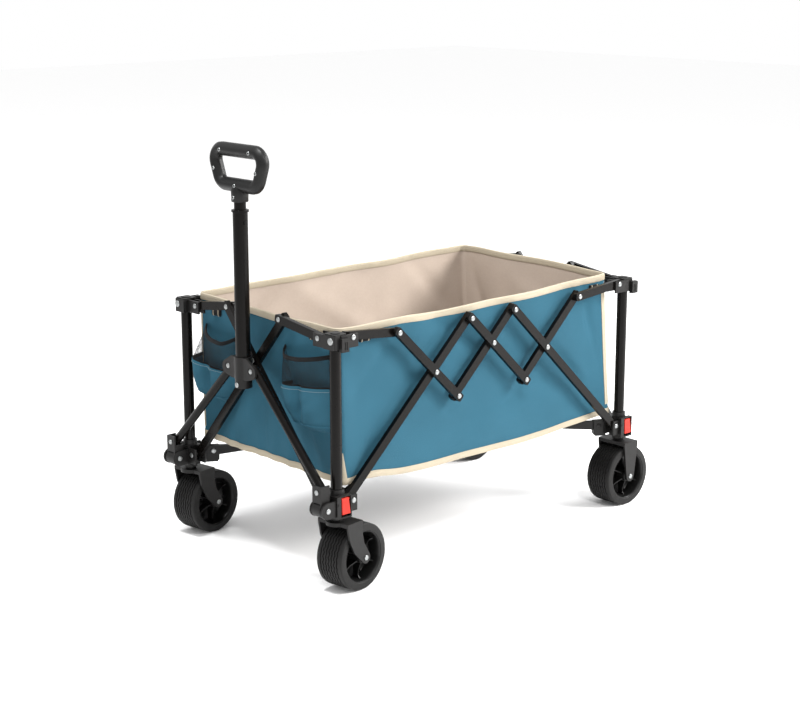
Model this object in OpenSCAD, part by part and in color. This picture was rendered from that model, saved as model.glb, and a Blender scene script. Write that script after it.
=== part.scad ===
// Folding beach cart: a four-way scissor frame on four wheels with a hung fabric bag.
// The handle end faces -X, the left side faces -Y and Z is up. The origin is on the
// ground, midway between the four corner posts. All sizes are in millimetres.

/* [Frame] */
// Distance between the post axes along the cart
span_x = 880; // [860:5:900]
// Distance between the post axes across the cart
span_y = 500; // [490:5:520]
// Diameter of the corner posts
post_d = 24; // [22:1:26]
// Depth of the flat scissor bars
bar_w = 18; // [16:1:18]
// Thickness of the flat scissor bars
bar_t = 10; // [8:0.5:10]
// Height of the lower scissor pivots above the ground
low_z = 195; // [193:1:197]

/* [Scissors] */
// Long side: lower pivot to the first crossing
side_long = 329; // [320:1:335]
// Long side: crossing to the top row
side_mid = 145; // [140:1:150]
// Long side: crossing to the lower row
side_short = 92; // [88:1:96]
// End: lower pivot to the crossing
end_long = 336; // [330:1:342]
// End: crossing to the top of the bar
end_top = 134; // [130:1:138]

/* [Wheels] */
// Wheel diameter
wheel_d = 142; // [138:1:144]
// Wheel width
wheel_w = 68; // [60:1:70]
// Trail of the front casters
trail = 44; // [38:1:48]
// Angle that both casters stand at
caster_turn = 8; // [0:1:15]

/* [Handle] */
// Diameter of the outer handle tube
outer_d = 31.5; // [30:0.5:32]
// Diameter of the inner handle tube
inner_d = 25; // [24:0.5:26]
// Height of the top of the outer tube
outer_top = 768; // [740:2:774]
// Height of the top of the grip
grip_top = 902; // [900:1:906]
// Thickness of the grip's ring
grip_d = 28; // [26:1:30]

/* [Bag] */
// Height of the bag's rim
bag_top = 546; // [535:1:548]
// Thickness of the bag's walls
bag_t = 3; // [2:0.5:4]

/* [Hidden] */
$fn = 40;

black = [0.13, 0.12, 0.12];
plastic = [0.09, 0.09, 0.09];
red = [0.86, 0.18, 0.12];
teal = [0.2, 0.42, 0.52];

half_x = span_x / 2;
half_y = span_y / 2;
left = -1;
right = 1;
front = -1;
rear = 1;

// Two layers of bars: depth outward from the post's centre plane
layer_in = -7;
layer_out = 3.6;
rivet_d = 6;
bore_d = 6.6;
head_d = 11;
head_h = 2;
gap = 0.3;
end_reach = 11.5;
end_r = 4.5;

// Lower pivots sit this far in from the post, and the top links this far
pivot_in = 30;
side_link_in = 32;
end_link_left_in = 33;
end_link_right_in = 43;
link_z = 534;
end_link_z = 531;

// Long side joints, as [x, z], for the front half
side_run = side_long + side_mid + side_short;
side_angle = acos((half_x - pivot_in) / side_run);
along = [cos(side_angle), sin(side_angle)];
down = [cos(side_angle), -sin(side_angle)];
low_pivot = [-half_x + pivot_in, low_z];
cross_1 = low_pivot + side_long * along;
top_1 = cross_1 + side_mid * along;
top_0 = cross_1 - side_mid * down;
lower_1 = cross_1 + side_short * down;
cross_mid = lower_1 + side_mid * along;
link_pivot = [-half_x + side_link_in, link_z];

// End joints, as [distance to the left, z]
end_angle = acos((half_y - pivot_in) / end_long);
end_low = [half_y - pivot_in, low_z - 2];
end_cross = [0, end_low[1] + end_long * sin(end_angle)];
end_free = end_cross + end_top * [cos(end_angle), sin(end_angle)];
end_link_left = [half_y - end_link_left_in, end_link_z];
end_link_right = [end_link_right_in - half_y, end_link_z];

function flip(p) = [-p[0], p[1]];

// Bracket sizes
housing = 34;
plate_t = 4.4;
slot_out = -14.1;
slot_in = 7.5;
bracket_low = 165;
bracket_high = 207;
stem_d = 12;
arm_lug = 54;
arm_reach = 140;
arm_turn = atan2(half_y, half_x);
lever_axis = [-20, 203.5];

// Wheel heights and places
wheel_r = wheel_d / 2;
leg_in = wheel_w / 2 + 2.5;
leg_t = 4.5;
fork_top = 155;
plate_low = 147;
axle_d = 10;

// Handle places
foot_pivot = [-481, 187];
yoke_x = -489;
yoke_low = [250, 224];
yoke_high = [38, 435];
pole_x = -478;
tube_low = 404;
tube_wall = 2.2;
button_z = outer_top - 26;
travel = 320;
hub_face = -490.8;
foot_face = -52.5;

// Puts a corner's parts in place: u runs inward along X, v inward along Y
module at_corner(sx, sy)
    translate([sx * half_x, sy * half_y, 0])
        mirror([sx > 0 ? 1 : 0, 0, 0])
            mirror([0, sy > 0 ? 1 : 0, 0])
                children();

// Swaps u and v, for what a bracket has on both faces
module swap_uv() mirror([1, -1, 0]) children();

// A plane drawn as [x, z] with depth outward, placed on the left or right side
module on_side(sy)
    mirror([0, sy > 0 ? 1 : 0, 0])
        rotate([90, 0, 0])
            translate([0, 0, half_y])
                children();

// A plane drawn as [leftward, z] with depth outward, placed on the front or rear end
module on_end(sx)
    mirror([sx > 0 ? 1 : 0, 0, 0])
        rotate([0, 0, -90])
            rotate([90, 0, 0])
                translate([0, 0, half_x])
                    children();

module slab(p, size) translate(p) cube(size);

// Rivet head with a domed edge, standing on z = 0
module head() {
    cylinder(d = head_d, h = head_h / 2);
    translate([0, 0, head_h / 2]) cylinder(d1 = head_d, d2 = head_d - 4, h = head_h / 2);
}

// Rivets on a bar, by kind: "out" and "in" cover one face, "through" joins both layers
module rivet(lo, kind) {
    high = kind == "through" ? layer_out + bar_t : lo + bar_t;
    low = kind == "through" ? layer_in : lo;
    if (kind != "in") translate([0, 0, lo + bar_t]) head();
    if (kind != "out") mirror([0, 0, 1]) translate([0, 0, -low + gap]) head();
    translate([0, 0, low - gap]) cylinder(d = rivet_d, h = high - low + gap);
}

// Bar outline along X: it reaches past both pivots and has rounded corners
module bar_2d(length) {
    inset = bar_w / 2 - end_r;
    translate([-end_reach, -inset]) square([length + 2 * end_reach, 2 * inset]);
    translate([end_r - end_reach, -bar_w / 2])
        square([length + 2 * (end_reach - end_r), bar_w]);
    for (x = [end_r - end_reach, length + end_reach - end_r], y = [-inset, inset])
        translate([x, y]) circle(r = end_r);
}

// Flat bar from p to q in a layer, with bores and rivets at distances along it
module bar(p, q, lo, bores, rivets) {
    length = norm(q - p);
    turn = atan2(q[1] - p[1], q[0] - p[0]);
    translate([p[0], p[1], 0])
        rotate([0, 0, turn])
            union() {
                difference() {
                    translate([0, 0, lo])
                        linear_extrude(bar_t) bar_2d(length);
                    for (b = bores)
                        translate([b, 0, lo - 1]) cylinder(d = bore_d, h = bar_t + 2);
                }
                for (r = rivets) translate([r[0], 0, 0]) rivet(lo, r[1]);
            }
}

// ---- Long side bars and links ----

module long_front(sy)
    color(black)
        on_side(sy)
            bar(low_pivot, top_1, layer_in, [0, side_long, side_long + side_mid], []);

module short_front(sy)
    color(black)
        on_side(sy)
            bar(top_0, lower_1, layer_out, [],
                [[0, "out"], [side_mid, "through"], [side_mid + side_short, "through"]]);

module mid_front(sy)
    color(black)
        on_side(sy)
            bar(lower_1, flip(top_1), layer_in, [0, side_mid + side_short],
                [[side_mid, "in"]]);

module short_rear(sy)
    color(black)
        on_side(sy)
            bar(top_1, flip(lower_1), layer_out, [],
                [[0, "through"], [side_short, "out"], [side_short + side_mid, "through"]]);

module mid_rear(sy)
    color(black)
        on_side(sy)
            bar(flip(lower_1), flip(top_0), layer_in, [0],
                [[side_short, "in"], [side_short + side_mid, "in"]]);

module long_rear(sy)
    color(black)
        on_side(sy)
            bar(flip(top_1), flip(low_pivot), layer_out, [side_mid + side_long],
                [[0, "through"], [side_mid, "out"]]);

module side_link_front(sy)
    color(black)
        on_side(sy)
            bar(link_pivot, top_0, layer_in, [0], [[norm(top_0 - link_pivot), "in"]]);

module side_link_rear(sy)
    color(black)
        on_side(sy)
            bar(flip(link_pivot), flip(top_0), layer_out, [0],
                [[norm(top_0 - link_pivot), "out"]]);

// ---- End bars and links ----

module end_bar_outer(sx)
    color(black)
        on_end(sx)
            bar(end_low, flip(end_free), layer_out, [0],
                [[end_long, "through"], [end_long + end_top, "out"]]);

module end_bar_inner(sx)
    color(black)
        on_end(sx)
            bar(flip(end_low), end_free, layer_in, [0, end_long],
                [[end_long + end_top, "in"]]);

module end_link_left(sx)
    color(black)
        on_end(sx)
            bar(end_link_left, end_free, layer_out, [0],
                [[norm(end_free - end_link_left), "out"]]);

module end_link_right(sx)
    color(black)
        on_end(sx)
            bar(end_link_right, flip(end_free), layer_in, [0],
                [[norm(flip(end_free) - end_link_right), "in"]]);

// ---- Corner parts ----

module post(sx, sy)
    color(black)
        at_corner(sx, sy)
            difference() {
                translate([0, 0, 180]) cylinder(d = post_d, h = 360);
                translate([0, 0, 179]) cylinder(d = post_d - 3, h = 358);
            }

// Two plates with a slot for the bars between them, and the pin across them
module clevis(low, high, reach, pin_u, pin_z, outer = slot_out) {
    slab([0, outer - plate_t, low], [reach, plate_t, high - low]);
    slab([0, slot_in, low], [reach, plate_t - 1, high - low]);
    translate([pin_u, slot_in + plate_t - 1.5, pin_z])
        rotate([90, 0, 0])
            cylinder(d = rivet_d, h = slot_in - outer + 2 * plate_t - 2);
    translate([pin_u, outer - plate_t, pin_z]) rotate([90, 0, 0]) head();
}

// Vertical rounded block round the post, from a low height to a high one
module block(size, low, high, r = 5)
    translate([0, 0, low])
        linear_extrude(high - low)
            union() {
                square([size, size - 2 * r], center = true);
                square([size - 2 * r, size], center = true);
                for (i = [-1, 1], j = [-1, 1])
                    translate([i * (size / 2 - r), j * (size / 2 - r)]) circle(r = r);
            }

module top_bracket(sx, sy)
    color(plastic)
        at_corner(sx, sy)
            union() {
                difference() {
                    union() {
                        block(housing - 1, 513, 544, 5);
                        clevis(514, 541, 45, side_link_in, link_z);
                        swap_uv()
                            if (sy < 0)
                                clevis(514, 541, 47, end_link_left_in, end_link_z);
                            else
                                clevis(514, 541, 55, end_link_right_in, end_link_z, -3.5);
                        swap_uv() slab([-14, -18.5, 513], [30, 6, 29]);
                        swap_uv()
                            translate([-6.5, -18.5, 530.5])
                                rotate([90, 0, 0])
                                    scale([1.3, 1.3, 1]) head();
                        slotted_block(sx < 0 ? -3 : -26);
                    }
                    translate([0, 0, 490]) cylinder(d = post_d, h = 50);
                }
                translate([0, 0, 544]) cylinder(d = 20, h = 1.5);
            }

// Small block with two upright slots that stands proud of the side plate
module slotted_block(u)
    difference() {
        slab([u, -24.5, 508], [19, 10, 28]);
        for (x = [7, 12])
            slab([u + x, -26, 512], [2, 5, 17]);
    }

// Ear that carries the handle's foot
module foot_ear(v0, v1)
    translate([0, v1, 0])
        rotate([90, 0, 0])
            linear_extrude(v1 - v0)
                union() {
                    translate([half_x + foot_pivot[0], foot_pivot[1]]) circle(r = 17);
                    translate([half_x + foot_pivot[0], foot_pivot[1] - 17]) square([42, 34]);
                }

// Lug and arm that run inward under the bag, toward the cart's middle
module floor_arm()
    rotate([0, 0, arm_turn]) {
        hull() {
            slab([34, -8, bracket_low + 8], [arm_lug - 24, 16, 31]);
            slab([34, -8, bracket_low + 2], [arm_lug - 28, 16, 37]);
        }
        slab([14, -2.5, bracket_low + 8], [22, 5, 30]);
        hull() {
            slab([34, -5, 182], [arm_lug - 24, 10, 20]);
            slab([34, -5, 189], [arm_reach - 34, 10, 14]);
        }
        for (s = [0, 1])
            mirror([0, s, 0])
                translate([51, -8, 192]) rotate([90, 0, 0]) head();
    }

// Side that the lever leans to: both left levers face the same way
module lever_side(sx) mirror([sx > 0 ? 1 : 0, 0, 0]) children();

module bottom_bracket(sx, sy)
    color(plastic)
        at_corner(sx, sy)
            union() {
                difference() {
                    union() {
                        block(housing, bracket_low, bracket_high + 3, 5);
                        lever_side(sx)
                            slab([-20, -25.5, bracket_low], [38.5, 11, 47]);
                        translate([0, 0, bracket_high]) cylinder(d = 31, h = 15);
                        translate([0, 0, 159]) cylinder(d = 30, h = 7);
                        clevis(173, bracket_high, 39.5, pivot_in, low_z);
                        swap_uv() clevis(173, bracket_high, 43, pivot_in, low_z - 2);
                        floor_arm();
                        if (sx < 0) {
                            foot_ear(-22, -17);
                            foot_ear(14.3, 17);
                        }
                    }
                    translate([0, 0, 180]) cylinder(d = post_d, h = 60);
                    translate([0, 0, 150]) cylinder(d = stem_d + 0.2, h = 26);
                    lever_side(sx) {
                        slab([-9.3, -27, bracket_low + 3], [25.3, 11.5, 42.5]);
                        translate([-13.2, lever_axis[0], lever_axis[1]])
                            rotate([0, 90, 0])
                                cylinder(d = 4.3, h = 31);
                    }
                }
                if (sx < 0)
                    translate([half_x + foot_pivot[0], 17, foot_pivot[1]])
                        rotate([90, 0, 0]) {
                            cylinder(d = 8, h = 39);
                            translate([0, 0, 39]) head();
                            mirror([0, 0, 1]) head();
                        }
                lever_side(sx)
                    translate([-15.5, -25, 194.5]) rotate([90, 0, 0]) cylinder(d = 5, h = 1.6);
            }

// Lock lever: a tapered paddle that rocks on a pin near its top edge
module lever(sx, sy)
    color(red)
        at_corner(sx, sy)
            lever_side(sx)
                union() {
                    translate([0, -19, 0])
                        rotate([90, 0, 0])
                            linear_extrude(7.5)
                                polygon([[-8, 208], [9.5, 208], [14.2, 173.5], [-7, 173.5]]);
                    translate([-13, lever_axis[0], lever_axis[1]])
                        rotate([0, 90, 0])
                            cylinder(d = 4, h = 30.6);
                }

// ---- Wheels and forks ----

// Leg outline, as [u, z]: it bends from the plate down to the axle
module leg_2d(shift, width) {
    stops = [[0.25, plate_low + 2, width], [0.3, 124, width * 0.88],
             [0.5, 99, width * 0.74], [1, wheel_r, 25]];
    hull() {
        translate([shift * 0.25 - width / 2, plate_low]) square([width, 4]);
        translate([shift * stops[1][0], stops[1][1]]) circle(d = stops[1][2]);
    }
    for (i = [1, 2])
        hull()
            for (j = [i, i + 1])
                translate([shift * stops[j][0], stops[j][1]]) circle(d = stops[j][2]);
}

module fork(shift, width) {
    translate([0, 0, plate_low])
        linear_extrude(fork_top - plate_low)
            union() {
                translate([shift * 0.25 - width / 2, -leg_in - leg_t])
                    square([width, 2 * (leg_in + leg_t)]);
                circle(d = width);
            }
    for (side = [-1, 1])
        translate([0, side * (leg_in + leg_t / 2) + leg_t / 2, 0])
            rotate([90, 0, 0])
                linear_extrude(leg_t) leg_2d(shift, width);
    translate([0, 0, fork_top - 1]) cylinder(d = stem_d, h = 20);
    translate([0, 0, fork_top - 1]) cylinder(d = 24, h = 4.5);
    translate([shift, leg_in + leg_t, wheel_r])
        rotate([90, 0, 0]) {
            cylinder(d = axle_d, h = 2 * (leg_in + leg_t));
            translate([0, 0, 2 * (leg_in + leg_t)]) head();
            mirror([0, 0, 1]) head();
        }
}

// The casters trail toward the cart's middle and stand turned about their posts
module caster_fork(sy)
    color(plastic)
        translate([-half_x, sy * half_y, 0]) rotate([0, 0, caster_turn]) fork(trail, 46);

module rear_fork(sy)
    color(plastic)
        translate([half_x, sy * half_y, 0]) fork(0, 46);

// Wheel about its own axis: tyre with round shoulders, dished rim and spokes
module wheel() {
    rim_r = wheel_r - 19;
    half_w = wheel_w / 2;
    color(black)
        rotate_extrude($fn = 72)
            difference() {
                union() {
                    translate([rim_r, -half_w + 3]) square([19, wheel_w - 6]);
                    translate([rim_r, -half_w]) square([16, wheel_w]);
                    for (j = [-1, 1])
                        translate([wheel_r - 3, j * (half_w - 3)]) circle(r = 3);
                }
                for (i = [-4 : 4]) translate([wheel_r, i * 5.2]) circle(r = 1.3);
            }
    color(plastic)
        difference() {
            rotate_extrude($fn = 72)
                union() {
                    translate([rim_r - 5, -half_w + 3]) square([5, wheel_w - 6]);
                    translate([14, -5]) square([rim_r - 16, 10]);
                    translate([axle_d / 2 + 0.15, -half_w + 3])
                        square([11, wheel_w - 6]);
                }
            for (i = [0 : 5])
                rotate([0, 0, i * 60]) translate([30, 0, -10]) cylinder(d = 16, h = 20);
        }
}

module wheel_at(x, y, shift, turn)
    translate([x, y, wheel_r])
        rotate([0, 0, turn])
            translate([shift, 0, 0])
                rotate([90, 0, 0])
                    wheel();

// ---- Handle ----

// Channel foot with a solid knuckle that tilts between the bracket's ears
module handle_foot(sy)
    color(plastic)
        at_corner(front, sy)
            difference() {
                union() {
                    slab([foot_face, -14, 202], [3.5, 28, 36]);
                    slab([foot_face, -14, 196], [22.5, 3.5, 42]);
                    slab([foot_face, 10.4, 196], [22.5, 3.5, 20]);
                    translate([half_x + foot_pivot[0], 13.9, foot_pivot[1]])
                        rotate([90, 0, 0])
                            cylinder(r = 16, h = 27.8);
                    translate([foot_face, 0, yoke_low[1]])
                        rotate([0, 90, 0]) {
                            mirror([0, 0, 1]) head();
                            cylinder(d = rivet_d, h = 24);
                        }
                }
                translate([half_x + foot_pivot[0], 30, foot_pivot[1]])
                    rotate([90, 0, 0])
                        cylinder(d = 8.3, h = 60);
            }

// Round tube from the foot's pivot to the hub's ear, bored across at both ends
module handle_yoke(sy) {
    run = [yoke_low[0] - yoke_high[0], yoke_high[1] - yoke_low[1]];
    reach = norm(run);
    color(black)
        mirror([0, sy > 0 ? 1 : 0, 0])
            translate([yoke_x + 13, -yoke_low[0], yoke_low[1]])
                rotate([-atan2(run[0], run[1]), 0, 0])
                    difference() {
                        translate([0, 0, -5]) cylinder(d = 18, h = reach + 14);
                        for (z = [0, reach])
                            translate([-15, 0, z])
                                rotate([0, 90, 0])
                                    cylinder(d = bore_d, h = 30);
                    }
}

// Hub's outline, as [y, z]: a tall middle and two rounded ears
module hub_2d()
    offset(r = 4)
        offset(delta = -4)
            hull() {
                translate([-25, 413]) square([50, 47]);
                for (s = [-1, 1])
                    translate([s * 41, yoke_high[1] - 2]) circle(r = 15);
            }

// Hub: a plate that wraps the pole between two ears, and the collar below it
module handle_hub()
    color(plastic)
        union() {
            difference() {
                union() {
                    intersection() {
                        translate([0, 0, 405]) linear_extrude(60) hub_plan_2d();
                        translate([hub_face - 20, 0, 0])
                            rotate([90, 0, 90])
                                linear_extrude(60)
                                    hub_2d();
                    }
                    translate([pole_x, 0, 394]) cylinder(d = outer_d + 5, h = 30);
                }
                translate([pole_x, 0, tube_low]) cylinder(d = outer_d, h = 80);
                for (s = [-1, 1])
                    translate([hub_face - 4, s * yoke_high[0], yoke_high[1]])
                        rotate([0, 90, 0]) cylinder(d = 14, h = 6);
            }
            for (s = [-1, 1])
                translate([hub_face + 2, s * yoke_high[0], yoke_high[1]])
                    rotate([0, 90, 0]) {
                        cylinder(d = rivet_d, h = 25);
                        mirror([0, 0, 1]) head();
                    }
            translate([pole_x - outer_d / 2 - 2, 0, 401]) rotate([0, 90, 0])
                mirror([0, 0, 1]) head();
        }

// Hub seen from above: the ears' plate and the wall round the pole, filleted together
module hub_plan_2d()
    offset(r = -9)
        offset(delta = 9)
            union() {
                translate([pole_x, 0]) circle(d = outer_d + 6);
                translate([hub_face, -60]) square([5, 120]);
            }

module handle_outer_tube()
    color(black)
        difference() {
            union() {
                translate([pole_x, 0, tube_low]) cylinder(d = outer_d, h = outer_top - tube_low);
                translate([pole_x, 0, outer_top - 5]) cylinder(d = outer_d + 5, h = 5);
            }
            translate([pole_x, 0, tube_low - 1])
                cylinder(d = inner_d + 0.8, h = outer_top - tube_low + 2);
            translate([pole_x, 0, button_z]) rotate([90, 0, 0]) cylinder(d = 8, h = 30);
        }

module handle_inner_tube()
    color(black)
        difference() {
            translate([pole_x, 0, tube_low + 8]) cylinder(d = inner_d, h = 785 - tube_low - 8);
            translate([pole_x, 0, tube_low + 7])
                cylinder(d = inner_d - 2 * tube_wall, h = 785 - tube_low - 12);
            for (z = [button_z, button_z - travel])
                translate([pole_x, 0, z]) rotate([90, 0, 0]) cylinder(d = 9, h = 30);
        }

// Snap button that locks the inner tube
module handle_button()
    color([0.2, 0.2, 0.2])
        translate([pole_x, 0, button_z])
            rotate([90, 0, 0])
                translate([0, 0, inner_d / 2 + 0.1])
                    union() {
                        cylinder(d = 7.6, h = 3.8);
                        translate([0, 0, 3.8]) cylinder(d1 = 7.6, d2 = 5, h = 1.2);
                    }

// Outline round the grip's centre line, as [y, z]: a rounded trapezoid grown by an amount
module grip_2d(grow) {
    high = grip_top - grip_d / 2 - 22;
    offset(r = 22 + grow)
        polygon([[-54, high], [54, high], [40, high - 27], [-40, high - 27]]);
}

// Grip: a ring built in steps toward its faces, on a round socket
module handle_grip()
    color(plastic)
        difference() {
            union() {
                for (step = [[14, 7], [12, 11], [8, 14]])
                    translate([pole_x - step[1], 0, 0])
                        rotate([90, 0, 90])
                            linear_extrude(2 * step[1])
                                difference() {
                                    grip_2d(step[0]);
                                    grip_2d(-step[0]);
                                }
                translate([pole_x, 0, 784]) cylinder(d = 36, h = grip_top - grip_d / 2 - 784 - 71);
            }
            translate([pole_x, 0, 783]) cylinder(d = inner_d, h = 2);
        }

// ---- Bag ----

bag_x0 = -418;
bag_x1 = 400;
bag_y = 235;
bag_low = 210;

// Open tub with two flat pockets on its front end, all open at the top
module bag()
    color(teal) {
        difference() {
            slab([bag_x0, -bag_y, bag_low], [bag_x1 - bag_x0, 2 * bag_y, bag_top - bag_low]);
            slab([bag_x0 + bag_t, -bag_y + bag_t, bag_low + bag_t],
                 [bag_x1 - bag_x0 - 2 * bag_t, 2 * (bag_y - bag_t), bag_top]);
        }
        for (s = [-1, 1])
            difference() {
                slab([bag_x0 - 11, s * 150 - 78, 316], [11, 156, 159]);
                slab([bag_x0 - 9.5, s * 150 - 76.5, 317.5], [9.5, 153, 170]);
            }
    }

// Half of the stiff board on the bag's floor: it hinges up along the cart's side
module floor_board(sy)
    color(teal)
        mirror([0, sy > 0 ? 1 : 0, 0])
            translate([bag_x0 + 8, 8 - bag_y, bag_low + bag_t + 0.2]) {
                cube([bag_x1 - bag_x0 - 16, bag_y - 9, 5]);
                translate([0, 0, 2.5])
                    rotate([0, 90, 0])
                        cylinder(d = 5, h = bag_x1 - bag_x0 - 16);
            }

post(front, left);  // post_fl
post(front, right);  // post_fr
post(rear, left);  // post_rl
post(rear, right);  // post_rr
top_bracket(front, left);  // top_bracket_fl
top_bracket(front, right);  // top_bracket_fr
top_bracket(rear, left);  // top_bracket_rl
top_bracket(rear, right);  // top_bracket_rr
bottom_bracket(front, left);  // bottom_bracket_fl
bottom_bracket(front, right);  // bottom_bracket_fr
bottom_bracket(rear, left);  // bottom_bracket_rl
bottom_bracket(rear, right);  // bottom_bracket_rr
lever(front, left);  // lever_fl
lever(front, right);  // lever_fr
lever(rear, left);  // lever_rl
lever(rear, right);  // lever_rr
long_front(left);  // left_long_front
short_front(left);  // left_short_front
mid_front(left);  // left_mid_front
short_rear(left);  // left_short_rear
mid_rear(left);  // left_mid_rear
long_rear(left);  // left_long_rear
side_link_front(left);  // left_link_front
side_link_rear(left);  // left_link_rear
long_front(right);  // right_long_front
short_front(right);  // right_short_front
mid_front(right);  // right_mid_front
short_rear(right);  // right_short_rear
mid_rear(right);  // right_mid_rear
long_rear(right);  // right_long_rear
side_link_front(right);  // right_link_front
side_link_rear(right);  // right_link_rear
end_bar_outer(front);  // front_bar_outer
end_bar_inner(front);  // front_bar_inner
end_link_left(front);  // front_link_left
end_link_right(front);  // front_link_right
end_bar_outer(rear);  // rear_bar_outer
end_bar_inner(rear);  // rear_bar_inner
end_link_left(rear);  // rear_link_left
end_link_right(rear);  // rear_link_right
caster_fork(left);  // caster_fork_fl
caster_fork(right);  // caster_fork_fr
rear_fork(left);  // rear_fork_rl
rear_fork(right);  // rear_fork_rr
wheel_at(-half_x, -half_y, trail, caster_turn);  // wheel_fl
wheel_at(-half_x, half_y, trail, caster_turn);  // wheel_fr
wheel_at(half_x, -half_y, 0, 0);  // wheel_rl
wheel_at(half_x, half_y, 0, 0);  // wheel_rr
handle_foot(left);  // handle_foot_left
handle_foot(right);  // handle_foot_right
handle_yoke(left);  // handle_yoke_left
handle_yoke(right);  // handle_yoke_right
handle_hub();
handle_outer_tube();
handle_inner_tube();
handle_grip();
handle_button();
bag();
floor_board(left);  // floor_board_left
floor_board(right);  // floor_board_right
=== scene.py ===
"""Looks of a folding beach cart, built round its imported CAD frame, in metres."""

import math

import bpy
import numpy as np
from mathutils import Matrix, Vector, noise


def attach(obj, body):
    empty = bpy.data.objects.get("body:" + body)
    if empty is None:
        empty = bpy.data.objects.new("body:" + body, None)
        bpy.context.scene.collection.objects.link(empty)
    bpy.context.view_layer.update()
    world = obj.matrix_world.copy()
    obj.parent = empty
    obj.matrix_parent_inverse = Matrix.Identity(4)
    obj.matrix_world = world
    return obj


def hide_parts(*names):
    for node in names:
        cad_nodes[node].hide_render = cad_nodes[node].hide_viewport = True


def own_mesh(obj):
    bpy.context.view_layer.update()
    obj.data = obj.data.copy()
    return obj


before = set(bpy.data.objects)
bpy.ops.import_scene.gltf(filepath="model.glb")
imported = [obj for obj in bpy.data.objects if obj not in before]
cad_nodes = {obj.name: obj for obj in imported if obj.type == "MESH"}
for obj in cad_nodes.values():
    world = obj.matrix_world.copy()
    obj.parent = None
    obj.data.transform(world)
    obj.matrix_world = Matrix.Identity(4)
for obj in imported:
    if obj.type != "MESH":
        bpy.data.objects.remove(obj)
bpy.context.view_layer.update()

# ---- Camera and light ----

CAMERA_AT = Vector((-2.6126, -2.7820, 1.2877))
CAMERA_LOOK = Vector((0.6617, 0.7136, -0.2300))
LENS = 77.56
STAGE_REACH = 14.0
STAGE_DROP = 0.0005


def make_camera():
    data = bpy.data.cameras.new("camera")
    data.lens = LENS
    data.sensor_width = 36.0
    camera = bpy.data.objects.new("camera", data)
    camera.location = CAMERA_AT
    camera.rotation_mode = "QUATERNION"
    camera.rotation_quaternion = CAMERA_LOOK.to_track_quat("-Z", "Y")
    bpy.context.scene.collection.objects.link(camera)
    bpy.context.scene.camera = camera


def area_light(name, place, target, size, power, colour=(1, 1, 1)):
    data = bpy.data.lights.new(name, "AREA")
    data.shape = "DISK"
    data.size = size
    data.energy = power
    data.color = colour
    light = bpy.data.objects.new(name, data)
    light.location = place
    light.rotation_mode = "QUATERNION"
    light.rotation_quaternion = (Vector(target) - Vector(place)).to_track_quat("-Z", "Y")
    bpy.context.scene.collection.objects.link(light)


def make_studio():
    world = bpy.data.worlds.new("studio")
    world.use_nodes = True
    background = world.node_tree.nodes["Background"]
    background.inputs["Color"].default_value = (1, 1, 1, 1)
    background.inputs["Strength"].default_value = 1.0
    bpy.context.scene.world = world
    bpy.context.scene.view_settings.view_transform = "Standard"
    middle = (0, 0, 0.3)
    area_light("key", (2.2, -3.1, 2.2), middle, 1.5, 208, (1, 0.98, 0.96))
    area_light("edge", (-1.1, 0.0, 3.1), middle, 0.7, 78)
    area_light("strip", (-0.94, -2.5, 3.0), middle, 0.55, 48)
    area_light("rear", (3.4, -0.9, 2.6), middle, 1.6, 120)


def make_floor():
    mesh = bpy.data.meshes.new("floor")
    corners = [(-1, -1), (1, -1), (1, 1), (-1, 1)]
    points = [(x * STAGE_REACH, y * STAGE_REACH, 0) for x, y in corners]
    mesh.from_pydata(points, [], [(0, 1, 2, 3)])
    floor = bpy.data.objects.new("floor", mesh)
    floor.location.z = -STAGE_DROP
    bpy.context.scene.collection.objects.link(floor)
    mat = bpy.data.materials.new("floor_pale")
    mat.use_nodes = True
    shader = mat.node_tree.nodes["Principled BSDF"]
    shader.inputs["Base Color"].default_value = (0.97, 0.97, 0.97, 1)
    shader.inputs["Roughness"].default_value = 0.9
    shader.inputs["Specular IOR Level"].default_value = 0.1
    mesh.materials.append(mat)


# ---- Materials ----


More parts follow.
